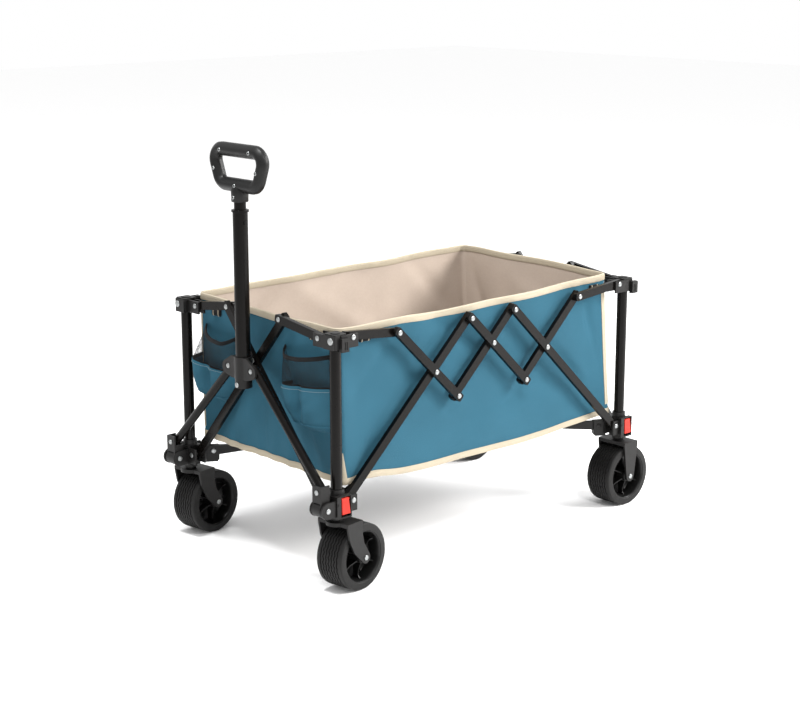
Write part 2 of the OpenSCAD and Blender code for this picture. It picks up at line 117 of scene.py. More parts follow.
class Shade:
    """A material and short calls that add nodes to it."""

    def __init__(self, name, **sockets):
        self.mat = bpy.data.materials.new(name)
        self.mat.use_nodes = True
        self.tree = self.mat.node_tree
        self.bsdf = self.tree.nodes["Principled BSDF"]
        for key, value in sockets.items():
            self.bsdf.inputs[key.replace("_", " ")].default_value = value

    def node(self, kind, values=None, **settings):
        made = self.tree.nodes.new(kind)
        for key, value in settings.items():
            setattr(made, key, value)
        for key, value in (values or {}).items():
            if isinstance(value, bpy.types.NodeSocket):
                self.tree.links.new(value, made.inputs[key])
            else:
                made.inputs[key].default_value = value
        return made

    def coords(self, uv=False):
        return self.node("ShaderNodeTexCoord").outputs["UV" if uv else "Object"]

    def noise(self, at, scale, detail=2.0, rough=0.5):
        made = self.node(
            "ShaderNodeTexNoise",
            {"Vector": at, "Scale": scale, "Detail": detail, "Roughness": rough},
        )
        return made.outputs["Fac"]

    def math(self, kind, a, b=0.0):
        return self.node("ShaderNodeMath", {0: a, 1: b}, operation=kind).outputs[0]

    def ramp(self, fac, stops):
        made = self.node("ShaderNodeValToRGB", {"Fac": fac})
        ends = made.color_ramp.elements
        ends[0].position, ends[0].color = stops[0][0], (*stops[0][1], 1)
        ends[1].position, ends[1].color = stops[-1][0], (*stops[-1][1], 1)
        for place, colour in stops[1:-1]:
            ends.new(place).color = (*colour, 1)
        return made.outputs["Color"]

    def colour(self, socket):
        self.tree.links.new(socket, self.bsdf.inputs["Base Color"])

    def roughness(self, fac, low, high):
        made = self.node("ShaderNodeMapRange", {"Value": fac, "To Min": low, "To Max": high})
        self.tree.links.new(made.outputs[0], self.bsdf.inputs["Roughness"])

    def bump(self, height, distance, strength, under=None):
        values = {"Height": height, "Distance": distance, "Strength": strength}
        if under is not None:
            values["Normal"] = under
        made = self.node("ShaderNodeBump", values)
        self.tree.links.new(made.outputs["Normal"], self.bsdf.inputs["Normal"])
        return made.outputs["Normal"]


def shades_of(colour, spread):
    """Three tones of a colour, darker to lighter."""
    return [tuple(c * k for c in colour) for k in (1 - spread, 1.0, 1 + spread)]


def hard_material(name, colour, rough, grain, depth, spread, specular):
    """Coated metal or moulded plastic: fine grain, faint mottling and uneven gloss."""
    s = Shade(name, Specular_IOR_Level=specular)
    at = s.coords()
    tones = shades_of(colour, spread)
    broad = s.noise(at, 14.0, 4.0)
    s.colour(s.ramp(broad, [(0.3, tones[0]), (0.5, tones[1]), (0.72, tones[2])]))
    s.roughness(s.noise(at, 60.0, 3.0), rough - 0.06, rough + 0.08)
    s.bump(s.noise(at, grain, 2.0), depth, 0.7)
    return s.mat


def cloth_material(name, colour, pitch, depth, spread, sheen):
    """Plain-woven cloth: threads over and under, slubs, and soft tonal variation."""
    s = Shade(name, Sheen_Weight=sheen, Sheen_Roughness=0.45, Specular_IOR_Level=0.1)
    uv = s.coords(uv=True)
    split = s.node("ShaderNodeSeparateXYZ", {"Vector": uv})
    turn = 2 * math.pi / pitch
    warp = s.math("SINE", s.math("MULTIPLY", split.outputs[0], turn))
    weft = s.math("SINE", s.math("MULTIPLY", split.outputs[1], turn))
    weave = s.math("MULTIPLY", warp, weft)
    tones = shades_of(colour, spread)
    broad = s.noise(uv, 7.0, 3.0)
    slub = s.noise(uv, 160.0, 3.0, 0.7)
    mixed = s.math("ADD", s.math("MULTIPLY", broad, 0.72), s.math("MULTIPLY", slub, 0.28))
    thread = s.math("ADD", mixed, s.math("MULTIPLY", weave, 0.035))
    s.colour(s.ramp(thread, [(0.3, tones[0]), (0.5, tones[1]), (0.7, tones[2])]))
    s.roughness(slub, 0.72, 0.88)
    wrinkle = s.bump(s.noise(uv, 13.0, 3.0), 0.004, 0.3)
    s.bump(s.math("ADD", weave, s.math("MULTIPLY", slub, 0.6)), depth, 0.8, wrinkle)
    return s.mat


def net_material(name, colour, pitch, wire):
    """Knitted net: round holes in staggered rows, open between its threads."""
    s = Shade(name, Roughness=0.75, Specular_IOR_Level=0.3)
    split = s.node("ShaderNodeSeparateXYZ", {"Vector": s.coords(uv=True)})
    turn = 2 * math.pi / pitch
    across = s.math("COSINE", s.math("MULTIPLY", split.outputs[0], turn))
    up = s.math("COSINE", s.math("MULTIPLY", split.outputs[1], turn))
    mesh = s.math("MULTIPLY", across, up)
    alpha = s.math("MULTIPLY", s.math("LESS_THAN", mesh, wire), s.math("GREATER_THAN", mesh, -wire))
    tones = shades_of(colour, 0.3)
    s.colour(s.ramp(s.noise(s.coords(uv=True), 90.0), [(0.3, tones[0]), (0.7, tones[2])]))
    s.tree.links.new(alpha, s.bsdf.inputs["Alpha"])
    return s.mat


def steel_material(name, colour, rough):
    s = Shade(name, Metallic=1.0)
    at = s.coords()
    tones = shades_of(colour, 0.08)
    s.colour(s.ramp(s.noise(at, 240.0, 3.0), [(0.3, tones[0]), (0.7, tones[2])]))
    s.roughness(s.noise(at, 500.0, 2.0), rough - 0.05, rough + 0.1)
    s.bump(s.noise(at, 1500.0, 2.0), 0.00002, 0.5)
    return s.mat


HARD = {
    # name: colour, roughness, grain, bump depth, spread of tones, specular level
    "steel_black": ((0.0030, 0.0025, 0.0022), 0.24, 1400.0, 0.00001, 0.12, 0.11),
    "plastic_black": ((0.0072, 0.0068, 0.0066), 0.42, 800.0, 0.00004, 0.12, 0.2),
    "plastic_wheel": ((0.0030, 0.0030, 0.0029), 0.30, 800.0, 0.00004, 0.12, 0.25),
    "grip_black": ((0.0045, 0.0045, 0.0045), 0.40, 700.0, 0.00008, 0.12, 0.22),
    "plastic_red": ((0.40, 0.018, 0.009), 0.36, 900.0, 0.00003, 0.05, 0.2),
    "rubber": ((0.0062, 0.0060, 0.0058), 0.55, 420.0, 0.00012, 0.12, 0.2),
}
WOVEN = {
    # name: colour, thread pitch, bump depth, spread of tones, sheen
    "teal": ((0.0265, 0.096, 0.141), 0.0011, 0.00022, 0.1, 0.0),
    "lining": ((0.38, 0.318, 0.268), 0.0011, 0.0001, 0.1, 0.0),
    "tape": ((0.41, 0.36, 0.275), 0.0016, 0.0003, 0.1, 0.0),
    "webbing": ((0.006, 0.006, 0.0065), 0.0022, 0.0005, 0.2, 0.05),
    "thread": ((0.24, 0.32, 0.34), 0.0008, 0.0001, 0.1, 0.25),
    "thread_cream": ((0.36, 0.31, 0.22), 0.0008, 0.0001, 0.1, 0.25),
}
MATERIALS = {
    **{name: hard_material(name, *traits) for name, traits in HARD.items()},
    **{name: cloth_material(name, *traits) for name, traits in WOVEN.items()},
    "bolt": steel_material("bolt", (0.30, 0.31, 0.31), 0.3),
    "button": steel_material("button", (0.012, 0.012, 0.012), 0.5),
    "net": net_material("net", (0.008, 0.008, 0.009), 0.0044, 0.16),
}


# ---- Mesh helpers ----


class Build:
    """Gathers vertices, faces, face materials and UVs, then becomes one object."""

    def __init__(self, name, *materials):
        self.name = name
        self.materials = materials
        self.points, self.faces, self.marks, self.uvs = [], [], [], []

    def grid(self, points, uv=None, mark=0, wrap_i=False, wrap_j=False, flip=False):
        """Faces over a grid of points of shape (I, J, 3); uv has shape (I, J, 2)."""
        rows, cols = points.shape[:2]
        first = len(self.points)
        self.points.extend(map(tuple, points.reshape(-1, 3)))
        if uv is None:
            uv = np.stack(np.meshgrid(np.arange(rows), np.arange(cols), indexing="ij"), -1) * 0.005
        for i in range(rows if wrap_i else rows - 1):
            for j in range(cols if wrap_j else cols - 1):
                at = [(i, j), (i + 1, j), (i + 1, j + 1), (i, j + 1)]
                if flip:
                    at.reverse()
                self.faces.append([first + (a % rows) * cols + b % cols for a, b in at])
                self.uvs.append([tuple(uv[a % rows, b % cols]) for a, b in at])
                self.marks.append(mark)
        return first

    def caps(self, first, rows, cols, mark=0, paired=False):
        """Closes both ends of a wrapped grid: in one face each, or in a strip of quads."""
        for row, turned in ((0, False), (rows - 1, True)):
            ring = [first + row * cols + j for j in range(cols)]
            if paired:
                faces = [
                    [ring[j], ring[j + 1], ring[cols - 2 - j], ring[cols - 1 - j]]
                    for j in range(cols // 2 - 1)
                ]
            else:
                faces = [ring]
            for face in faces:
                self.faces.append(face[::-1] if turned else face)
                self.uvs.append([(self.points[k][0], self.points[k][2]) for k in face])
                self.marks.append(mark)

    def revolve(self, profile, place, steps, mark=0, wave=None):
        """A closed profile of (radius, along) pairs turned about the Y axis of place, a matrix.

        wave gives each pair's sway to and fro along the axis as it goes round.
        """
        turn = np.linspace(0, 2 * math.pi, steps, endpoint=False)
        points = np.zeros((steps, len(profile), 3))
        for j, (radius, along) in enumerate(profile):
            shift = wave[j] * np.sin(turn * TREAD_WAVES) if wave is not None else 0.0
            points[:, j] = np.stack(
                [radius * np.cos(turn), along + shift + 0 * turn, radius * np.sin(turn)], -1
            )
        self.grid(moved(points, place), mark=mark, wrap_i=True, wrap_j=True)

    def make(self, body, smooth):
        mesh = bpy.data.meshes.new(self.name)
        mesh.from_pydata(self.points, [], self.faces)
        layer = mesh.uv_layers.new(name="UVMap")
        layer.data.foreach_set("uv", [c for face in self.uvs for uv in face for c in uv])
        mesh.polygons.foreach_set("material_index", self.marks)
        for key in self.materials:
            mesh.materials.append(MATERIALS[key])
        mesh.polygons.foreach_set("use_smooth", [True] * len(mesh.polygons))
        mesh.set_sharp_from_angle(angle=math.radians(smooth))
        mesh.update()
        mesh.validate()
        made = bpy.data.objects.new(self.name, mesh)
        bpy.context.scene.collection.objects.link(made)
        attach(made, body)
        return made


def moved(points, place):
    m = np.array(place)
    return points @ m[:3, :3].T + m[:3, 3]


def smoothstep(x):
    x = np.clip(x, 0, 1)
    return x * x * (3 - 2 * x)


# ---- Frame: the CAD nodes' finishes ----

BEVEL = 0.0007
BAR_BEVEL = 0.0024
BEVEL_ANGLE = math.radians(35)
WELD = 0.00002
HALF_X, HALF_Y = 0.44, 0.25
CORNERS = {"fl": (-1, -1), "fr": (-1, 1), "rl": (1, -1), "rr": (1, 1)}
CASTER_TURN = math.radians(8)
# Depths past the posts' planes: a bar lies between the first pair, heads between the others
BAR_DEPTHS = (-0.0071, 0.0137)
HEAD_BAND = (0.01855, 0.0215)
LOW_HEAD_BAND = (0.00795, 0.0105)
HEAD_R = 0.006
# Half widths of a bracket's lug and of a fork across its legs
LUG_HALF = 0.00805
FORK_HALF = 0.0411


def within(depth, band):
    return (depth > band[0]) & (depth < band[1])


def near(a, b, at, reach=HEAD_R):
    return np.hypot(a - at[0], b - at[1]) < reach


def is_bar(name):
    return name.startswith(("left_", "right_", "front_", "rear_")) and "fork" not in name


def bolt_faces(name, centres):
    """Which faces of a CAD node belong to a rivet or screw head, by how deep they lie."""
    x, y, z = centres.T
    side, end = np.abs(y) - HALF_Y, np.abs(x) - HALF_X
    if is_bar(name):
        depth = side if name.startswith(("left_", "right_")) else end
        return ~within(depth, BAR_DEPTHS)
    if "bracket" in name:
        return bracket_heads(name[-2] == "f", centres, side, end)
    if "fork" in name:
        return axle_heads(name, centres)
    if "foot" in name:
        return (x < -0.49255) & near(np.abs(y), z, (HALF_Y, 0.224))
    if name == "handle_hub":
        ears = (x < -0.48885) & near(np.abs(y), z, (0.038, 0.435), 0.0058)
        return ears | (x < -0.4963) & near(y, z, (0, 0.401), 0.0058)
    return np.zeros(len(centres), bool)


def bracket_heads(is_front, centres, side, end):
    """Heads on a corner bracket's faces; in front also on its end, its lug and its ears."""
    x, y, z = centres.T
    high = z > 0.4
    heads = within(side, HEAD_BAND) & (np.abs(x) < 0.4195)
    heads |= within(end, LOW_HEAD_BAND) & high & (np.abs(y) < 0.2135)
    if is_front:
        heads |= within(end, HEAD_BAND) & (high | (np.abs(y) < 0.2375))
        turn = math.atan2(HALF_Y, HALF_X)
        across = end * math.sin(turn) - side * math.cos(turn)
        along = -end * math.cos(turn) - side * math.sin(turn)
        heads |= (np.abs(across) > LUG_HALF) & ~high & near(along, z, (0.051, 0.192))
        heads |= near(x, z, (-0.481, 0.187), 0.0058) & ~within(side, (-0.0171, 0.0221))
    return heads


def axle_heads(name, centres):
    """Faces beyond the outer side of a fork's legs."""
    sx, sy = CORNERS[name[-2:]]
    turn = CASTER_TURN if "caster" in name else 0.0
    across = np.array([-math.sin(turn), math.cos(turn)])
    depth = (centres[:, :2] - np.array([sx * HALF_X, sy * HALF_Y])) @ across
    return np.abs(depth) > FORK_HALF


def finish_cad():
    for name, node in cad_nodes.items():
        if node.hide_render:
            continue
        mesh = node.data
        if "custom_normal" in mesh.attributes:
            mesh.attributes.remove(mesh.attributes["custom_normal"])
        if "lever" in name:
            key = "plastic_red"
        elif name == "handle_button":
            key = "button"
        elif any(word in name for word in ("bracket", "fork", "foot", "hub")):
            key = "plastic_black"
        else:
            key = "steel_black"
        mesh.materials.clear()
        mesh.materials.append(MATERIALS[key])
        mesh.materials.append(MATERIALS["bolt"])
        centres = np.zeros(len(mesh.polygons) * 3, np.float32)
        mesh.polygons.foreach_get("center", centres)
        heads = bolt_faces(name, centres.reshape(-1, 3).astype(float))
        mesh.polygons.foreach_set("material_index", heads.astype(np.int32))
        mesh.polygons.foreach_set("use_smooth", [True] * len(mesh.polygons))
        weld = node.modifiers.new("weld", "WELD")
        weld.merge_threshold = WELD
        bevel = node.modifiers.new("bevel", "BEVEL")
        bevel.width = BAR_BEVEL if is_bar(name) else BEVEL
        bevel.segments = 4 if is_bar(name) else 2
        bevel.limit_method = "ANGLE"
        bevel.angle_limit = BEVEL_ANGLE
        bevel.use_clamp_overlap = True
        bevel.harden_normals = True


# ---- Bag ----

FRONT, REAR = -0.418, 0.400
HALF = 0.235
CLOTH = 0.0012
TAPE = 0.013
STITCH_LONG, STITCH_LIFT = 0.0034, 0.0003
WALLS = {
    # name: (first corner, second corner, body, squash axis, middle rise of the rim)
    "left": ("fl", "rl", "corner_fl", 0, -0.006),
    "rear": ("rl", "rr", "corner_rl", 1, 0.003),
    "right": ("rr", "fr", "corner_fr", 0, -0.001),
    "front": ("fr", "fl", "corner_fl", 1, -0.003),
}
RIM = {"fl": 0.546, "fr": 0.553, "rl": 0.555, "rr": 0.563}
BASE = {"fl": 0.218, "fr": 0.230, "rl": 0.220, "rr": 0.222}
BASE_SAG = {"left": -0.013, "rear": -0.006, "right": -0.008, "front": -0.002}
ALONG_STEPS = {"left": 132, "right": 132, "rear": 76, "front": 76}
UP_STEPS = 44
ARC_STEPS = 8
WAVE_SEEDS = {"left": 3.1, "right": 7.7, "rear": 12.3, "front": 19.9}
CLEAR_OF_BARS = 0.0006
FLAT_ZERO = 0.21
# each wall's points, outward normals and flat coordinates, once it is made
surfaces = {}


def bag_corner(key, t):
    """A corner of the bag's outline at height share t, 0 at the base."""
    if key == "fl":
        x = FRONT - 0.004 + 0.014 * (1 - t)
    elif key == "fr":
        x = FRONT + 0.004 * (1 - t)
    else:
        x = REAR + 0.026 * (1 - t) ** 1.3
    return np.array([x, -HALF if key[1] == "l" else HALF, 0.0])


def ridge(s, t, at, across, angle, length):
    """A soft fold: a smooth crest through a point, of a given width, angle and length."""
    c, d = math.cos(angle), math.sin(angle)
    u, v = (s - at[0]) * c + (t - at[1]) * d, -(s - at[0]) * d + (t - at[1]) * c
    return np.exp(-((v / across) ** 2) - (u / length) ** 2)


FOLDS = {
    # wall: (place along, place up, width, angle, length, depth), in metres and radians
    "left": [
        (0.07, 0.06, 0.014, 1.0, 0.08, -0.007),
        (0.13, 0.27, 0.016, 0.7, 0.10, -0.005),
        (0.20, 0.20, 0.030, 0.75, 0.16, -0.008),
        (0.34, 0.28, 0.018, -0.5, 0.10, -0.006),
        (0.47, 0.10, 0.030, 0.2, 0.15, -0.008),
        (0.60, 0.22, 0.020, 0.9, 0.12, -0.007),
        (0.69, 0.15, 0.012, -0.75, 0.07, -0.008),
        (0.73, 0.09, 0.012, -1.0, 0.06, -0.006),
        (0.76, 0.25, 0.012, -1.3, 0.08, -0.006),
    ],
    "right": [
        (0.10, 0.25, 0.024, 0.8, 0.12, 0.005),
        (0.25, 0.12, 0.034, -0.4, 0.16, 0.004),
        (0.40, 0.22, 0.030, 0.6, 0.16, -0.005),
        (0.55, 0.10, 0.026, 1.1, 0.12, 0.005),
        (0.66, 0.24, 0.022, -0.9, 0.12, 0.006),
        (0.75, 0.14, 0.020, 0.9, 0.10, -0.004),
    ],
    "rear": [
        (0.08, 0.14, 0.022, 1.2, 0.14, 0.005),
        (0.20, 0.24, 0.028, 0.5, 0.12, -0.004),
        (0.31, 0.12, 0.024, -1.0, 0.12, 0.005),
        (0.41, 0.22, 0.018, 1.2, 0.10, 0.004),
    ],
    "front": [
        (0.10, 0.29, 0.016, -0.15, 0.12, 0.006),
        (0.36, 0.30, 0.014, 0.35, 0.10, 0.006),
        (0.24, 0.08, 0.016, 1.45, 0.07, 0.006),
        (0.31, 0.06, 0.015, 1.75, 0.06, -0.005),
        (0.15, 0.07, 0.016, 1.3, 0.06, 0.005),
        (0.40, 0.08, 0.014, 2.1, 0.07, 0.005),
        (0.24, 0.23, 0.030, 0.1, 0.10, 0.005),
    ],
}


def wall_outline(name):
    """A wall's level outlines, rounded at both ends, as (points, outward normals, run)."""
    first, second = WALLS[name][:2]
    n_along = ALONG_STEPS[name]
    shape = (n_along + 2 * ARC_STEPS + 1, UP_STEPS + 1)
    points, normals, run = np.zeros((*shape, 3)), np.zeros((*shape, 3)), np.zeros(shape)
    arc = math.pi / 4 * np.arange(1, ARC_STEPS + 1) / ARC_STEPS
    turns = np.concatenate([-arc[::-1], np.zeros(n_along + 1), arc])[:, None]
    for j in range(UP_STEPS + 1):
        t = j / UP_STEPS
        a, b = bag_corner(first, t), bag_corner(second, t)
        length = np.linalg.norm(b - a)
        e = (b - a) / length
        n = np.array([e[1], -e[0], 0.0])
        r = 0.011 + 0.005 * t**2
        straight = np.linspace(r, length - r, n_along + 1)
        run[:, j] = np.concatenate([r - r * arc[::-1], straight, length - r + r * arc])
        centres = a - n * r + e * np.clip(run[:, j], r, length - r)[:, None]
        normals[:, j] = np.cos(turns) * n + np.sin(turns) * e
        points[:, j] = centres + r * normals[:, j]
    return points, normals, run


def wall_heights(name, s, share, to_corner):
    """Heights of a wall's points from its sagging lower edge to its slightly wavy rim."""
    first, second, _, _, lift = WALLS[name]
    bow = 4 * share * (1 - share)
    ease = smoothstep(to_corner / 0.08)
    rim = RIM[first] * (1 - share) + RIM[second] * share + lift * bow
    rim += 0.0012 * np.sin(s * 23 + len(name)) * ease
    base = BASE[first] * (1 - share) + BASE[second] * share + BASE_SAG[name] * bow
    if name == "left":
        base += 0.007 * np.exp(-(((s - 0.085) / 0.05) ** 2))
    base += 0.0016 * np.sin(s * 17 + 2 * len(name)) * ease
    return base[:, :1] + (rim - base)[:, -1:] * np.linspace(0, 1, UP_STEPS + 1)


def wall_relief(name, s, up, share, to_corner):
    """How far a wall stands out of its plane: a shallow hollow, its folds and soft waves."""
    away = smoothstep(to_corner / 0.05)
    hollow = np.sin(math.pi * np.linspace(0, 1, UP_STEPS + 1)) * np.sin(math.pi * share)
    push = -0.004 * away * hollow
    for s0, up_0, across, angle, reach, depth in FOLDS[name]:
        push = push + depth * away * ridge(s, up, (s0, up_0), across, angle, reach)
    seed = WAVE_SEEDS[name]
    soft = np.vectorize(lambda a, b: noise.noise(Vector((a * 9 + seed, b * 7, seed))))(s, up)
    push = push + (0.0062 if name == "front" else 0.0052) * soft * away
    if name == "front":
        pleats = np.abs(np.sin(s * 62 + up * 9)) * np.exp(-((up / 0.07) ** 2))
        push = push - 0.0045 * away * pleats
    if name in ("left", "front"):
        push = np.minimum(push, CLEAR_OF_BARS)
    return push


def wall_points(name):
    """Outer surface of a bag wall as (points, outward normals, flat coordinates)."""
    points, normals, s = wall_outline(name)
    length = s.max()
    share = np.clip(s / length, 0, 1)
    to_corner = np.minimum(s, length - s)
    points[:, :, 2] = wall_heights(name, s, share, to_corner)
    up = points[:, :, 2] - FLAT_ZERO
    push = wall_relief(name, s, up, share, to_corner)
    points += normals * push[:, :, None]
    return points, normals, np.stack([s, up], -1)


def closed_sheet(build, top, under, flat, flip=False):
    """A closed solid between two grids of points that share their flat coordinates."""
    ring = np.concatenate([top, under[:, ::-1]], axis=1)
    uv = np.concatenate([flat, flat[:, ::-1]], axis=1)
    at = build.grid(ring, uv, wrap_j=True, flip=flip)
    build.caps(at, *ring.shape[:2], paired=True)


def thin_sheet(build, outer, normals, flat, thickness, inset=0.0):
    """A closed sheet whose outer side lies inset below the given surface."""
    closed_sheet(build, outer - normals * inset, outer - normals * (inset + thickness), flat)


def lengths_along(line):
    """Distance along a line of points, at each of them."""
    steps = np.linalg.norm(np.diff(line, axis=0), axis=1)
    return np.concatenate([[0], np.cumsum(steps)])


def tape_along(build, line, out, up, section, mark=0):
    """A tape swept along a line: section is a closed list of (out, up) pairs."""
    points = np.stack([line + out * a + up * b for a, b in section], axis=1)
    uv = np.meshgrid(lengths_along(line), lengths_along(np.array(section)), indexing="ij")
    uv = np.stack(uv, -1)
    at = build.grid(points, uv, mark, wrap_j=True, flip=True)
    build.caps(at, *points.shape[:2], mark)


def stitches(build, line, out, up, pitch=0.0052, width=0.0007):
    """A row of short raised stitches along a line."""
    run = lengths_along(line)

    def on_run(d, values):
        return np.array([np.interp(d, run, column) for column in values.T])

    for k in range(int(run[-1] / pitch)):
        start, end = on_run(k * pitch, line), on_run(k * pitch + STITCH_LONG, line)
        lift, u = on_run(k * pitch, out) * STITCH_LIFT, on_run(k * pitch, up) * width / 2
        middle = (start + end) / 2 + lift
        loops = [
            [at + u * w, at + lift, at - u * w, at - lift * 4 / 3]
            for at, w in ((start, 0.45), (middle, 1.0), (end, 0.45))
        ]
        build.grid(np.array(loops), wrap_j=True)


def unit(v):
    return v / np.maximum(np.linalg.norm(v, axis=-1, keepdims=True), 1e-9)


def squash_wall(piece):
    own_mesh(piece)


def make_wall(name):
    first, second, body, axis, _ = WALLS[name]
    points, normals, flat = wall_points(name)
    surfaces[name] = (points, normals, flat)

    cloth = Build(f"bag_wall_{name}", "teal")
    thin_sheet(cloth, points, normals, flat, CLOTH)
    cloth = cloth.make(body, 60)

    inner = Build(f"bag_lining_{name}", "lining")
    thin_sheet(inner, points, normals, flat, 0.001, inset=CLOTH + 0.0006)
    inner = inner.make(body, 60)

    trim = Build(f"bag_binding_{name}", "tape")
    top, n_top = points[:, -1], normals[:, -1]
    up = unit(points[:, -1] - points[:, -3])
    thick = CLOTH + 0.0016
    leg = [(0.0011, -TAPE), (0.0017, -TAPE + 0.001), (0.0019, -0.003), (0.0014, 0.0006)]
    section = leg + [(-thick / 2, 0.0020)] + [(-thick - a, b) for a, b in reversed(leg)]
    section += [(-thick, -TAPE + 0.0006), (-thick, -0.001), (0.0, -0.001), (0.0, -TAPE + 0.0006)]
    tape_along(trim, top, n_top, up, section)
    low, n_low = points[:, 0], normals[:, 0]
    down = unit(points[:, 0] - points[:, 2])
    tape_along(trim, low, n_low, down, section)
    trim = trim.make(body, 50)

    sewn = Build(f"bag_stitches_{name}", "thread_cream")
    for drop in (0.0032, TAPE - 0.0026):
        stitches(sewn, top - up * drop + n_top * 0.0019, n_top, up)
        stitches(sewn, top - up * drop - n_top * (thick + 0.0019), -n_top, up)
    stitches(sewn, low - down * (TAPE - 0.003) + n_low * 0.0019, n_low, down)
    stitches(sewn, low - down * 0.0035 + n_low * 0.0019, n_low, down)
    sewn = sewn.make(body, 60)

    for piece in (cloth, inner, trim, sewn):
        squash_wall(piece)
    return cloth


SEAM = 0.0165


def make_corner_tapes():
    """Cream tape over each upright seam, in two halves that ride with their walls."""
    for name, (first, second, body, axis, _) in WALLS.items():
        points, normals, flat = surfaces[name]
        along = flat[:, 0, 0]
        for key, rows in (
            (first, np.nonzero(along < SEAM)[0]),
            (second, np.nonzero(along > along.max() - SEAM)[0]),
        ):
            build = Build(f"bag_seam_{name}_{key}", "tape")
            cols = slice(3, -3)
            if key == "fl":
                low = points[rows[0], :, 2] < 0.288
                cols = slice(1, max(8, int(low.sum())))
            norm = normals[rows, cols]
            strip = points[rows, cols] + norm * 0.0012
            if key == "fl":
                corner = strip[:1] if name == "left" else strip[-1:]
                wide = np.interp(strip[:, :, 2], [0.225, 0.288], [1.0, 0.1])[:, :, None]
                strip = corner + (strip - corner) * wide
            thin_sheet(build, strip, norm, flat[rows, cols], 0.0012)
            squash_wall(build.make(body, 60))


# ---- Pockets on the front ----

POCKETS = {
    # rows from the opening down to the wall: (distance off the wall, y, z), in mm
    "left": [
        [(1, -82, 410), (33, -87, 412), (33, -108, 411), (22, -127, 411),
         (26, -143, 412), (19, -180, 415), (10, -210, 419), (1.5, -226, 421)],
        [(1, -83, 385), (33, -88, 384), (34, -110, 384), (20, -127, 384),
         (28, -144, 385), (23, -180, 388), (13, -211, 391), (1.5, -226, 392)],
        [(1, -86, 360), (24, -86, 362), (30, -110, 358), (18, -128, 357),
         (27, -146, 357), (24, -180, 359), (14, -211, 362), (1.5, -226, 364)],
        [(1, -100, 340), (14, -100, 337), (22, -113, 334), (18, -130, 333),
         (22, -147, 333), (20, -180, 335), (12, -210, 339), (1.5, -225, 342)],
        [(1, -112, 330), (2, -114, 326), (2, -122, 322), (2, -135, 320),
         (2, -150, 318), (2, -180, 320), (2, -208, 326), (1.5, -222, 332)],
    ],
    "right": [
        [(1, 226, 419), (39, 213, 416), (37, 192, 409), (26, 177, 404),
         (31, 160, 400), (22, 132, 397), (10, 108, 396), (1.5, 92, 396)],
        [(1, 226, 388), (38, 212, 389), (37, 191, 385), (24, 177, 384),
         (32, 160, 383), (24, 132, 382), (11, 107, 382), (1.5, 92, 382)],
        [(1, 224, 364), (36, 211, 364), (34, 190, 360), (22, 177, 359),
         (29, 160, 358), (22, 132, 357), (10, 108, 358), (1.5, 93, 359)],
        [(1, 221, 348), (31, 205, 345), (27, 188, 336), (20, 176, 335),
         (22, 160, 334), (15, 134, 335), (8, 112, 338), (1.5, 98, 342)],
        [(1, 212, 340), (2, 198, 331), (2, 187, 326), (2, 175, 323),
         (2, 160, 321), (2, 135, 321), (2, 114, 325), (1.5, 102, 332)],
    ],
}
BANDS = {
    # the elastic band's upper edge, in the same form
    "left": [(1, -68, 488), (15, -80, 482), (26, -96, 475), (27, -116, 474),
             (26, -138, 476), (22, -170, 481), (13, -202, 488), (3, -218, 492)],
    "right": [(2, 204, 489), (8, 196, 486), (20, 180, 477), (27, 160, 470),
              (29, 138, 467), (28, 118, 466), (19, 96, 474), (2, 73, 488)],
}
BAND_TALL = 0.009
POCKET_SPOTS = (64, 36)
NET_ROWS = 18


def spline(points, count):
    """A smooth curve of count points through the given ones, along the first axis."""
    points = np.asarray(points, float)
    padded = np.concatenate([[2 * points[0] - points[1]], points, [2 * points[-1] - points[-2]]])
    out = []
    for u in np.linspace(0, len(points) - 1, count):
        k = min(int(u), len(points) - 2)
        t = u - k
        a, b, c, d = padded[k : k + 4]
        out.append(
            0.5
            * (2 * b + (c - a) * t + (2 * a - 5 * b + 4 * c - d) * t * t
               + (3 * b - a - 3 * c + d) * t**3)
        )
    return np.array(out)


def off_wall(spots, side):
    """(distance, y, z) in mm as a point in front of the front wall, clear of the bars."""
    wall = surfaces["front"][0].reshape(-1, 3)
    shape = spots.shape[:-1]
    flat = spots.reshape(-1, 3) / 1000
    out = np.zeros_like(flat)
    for k, (away, y, z) in enumerate(flat):
        nearest = np.argmin((wall[:, 1] - y) ** 2 + (wall[:, 2] - z) ** 2)
        x = wall[nearest, 0] - away
        bar = 0.193 + 1.1545 * (0.22 - abs(y))
        limit = -0.4420 if side == "left" else -0.4318
        if abs(z - bar) < 0.019:
            x = max(x, limit)
        out[k] = (x, y, z)
    return out.reshape(*shape, 3)


def grid_normals(points):
    """Unit normals of a grid of points, on its front side."""
    n = unit(np.cross(np.gradient(points, axis=0), np.gradient(points, axis=1)))
    return -n if n[:, :, 0].mean() > 0 else n


def lengths(points):
    """Distances along the first and second axes of a grid, as flat coordinates."""
    along = np.linalg.norm(np.diff(points, axis=0), axis=2).mean(axis=1)
    up = np.linalg.norm(np.diff(points, axis=1), axis=2).mean(axis=0)
    u = np.concatenate([[0], np.cumsum(along)])
    v = np.concatenate([[0], np.cumsum(up)])
    return np.stack(np.meshgrid(u, v, indexing="ij"), -1)


def front_piece(build, smooth):
    """Makes a piece that rides with the front wall."""
    piece = build.make("corner_fl", smooth)
    squash_wall(piece)
    return piece


def make_sheet(name, key, points, thick, rests_on, **more):
    """A closed thin sheet over a grid of points in front of the front wall."""
    norm = grid_normals(points)
    flat = lengths(points)
    build = Build(name, key)
    thin_sheet(build, points, norm, flat, thick)
    piece = front_piece(build, 60)
    return piece, norm


def make_trim(name, key, line, out, rise, section, smooth=50):
    build = Build(name, key)
    tape_along(build, line, out, rise, section)
    return front_piece(build, smooth)


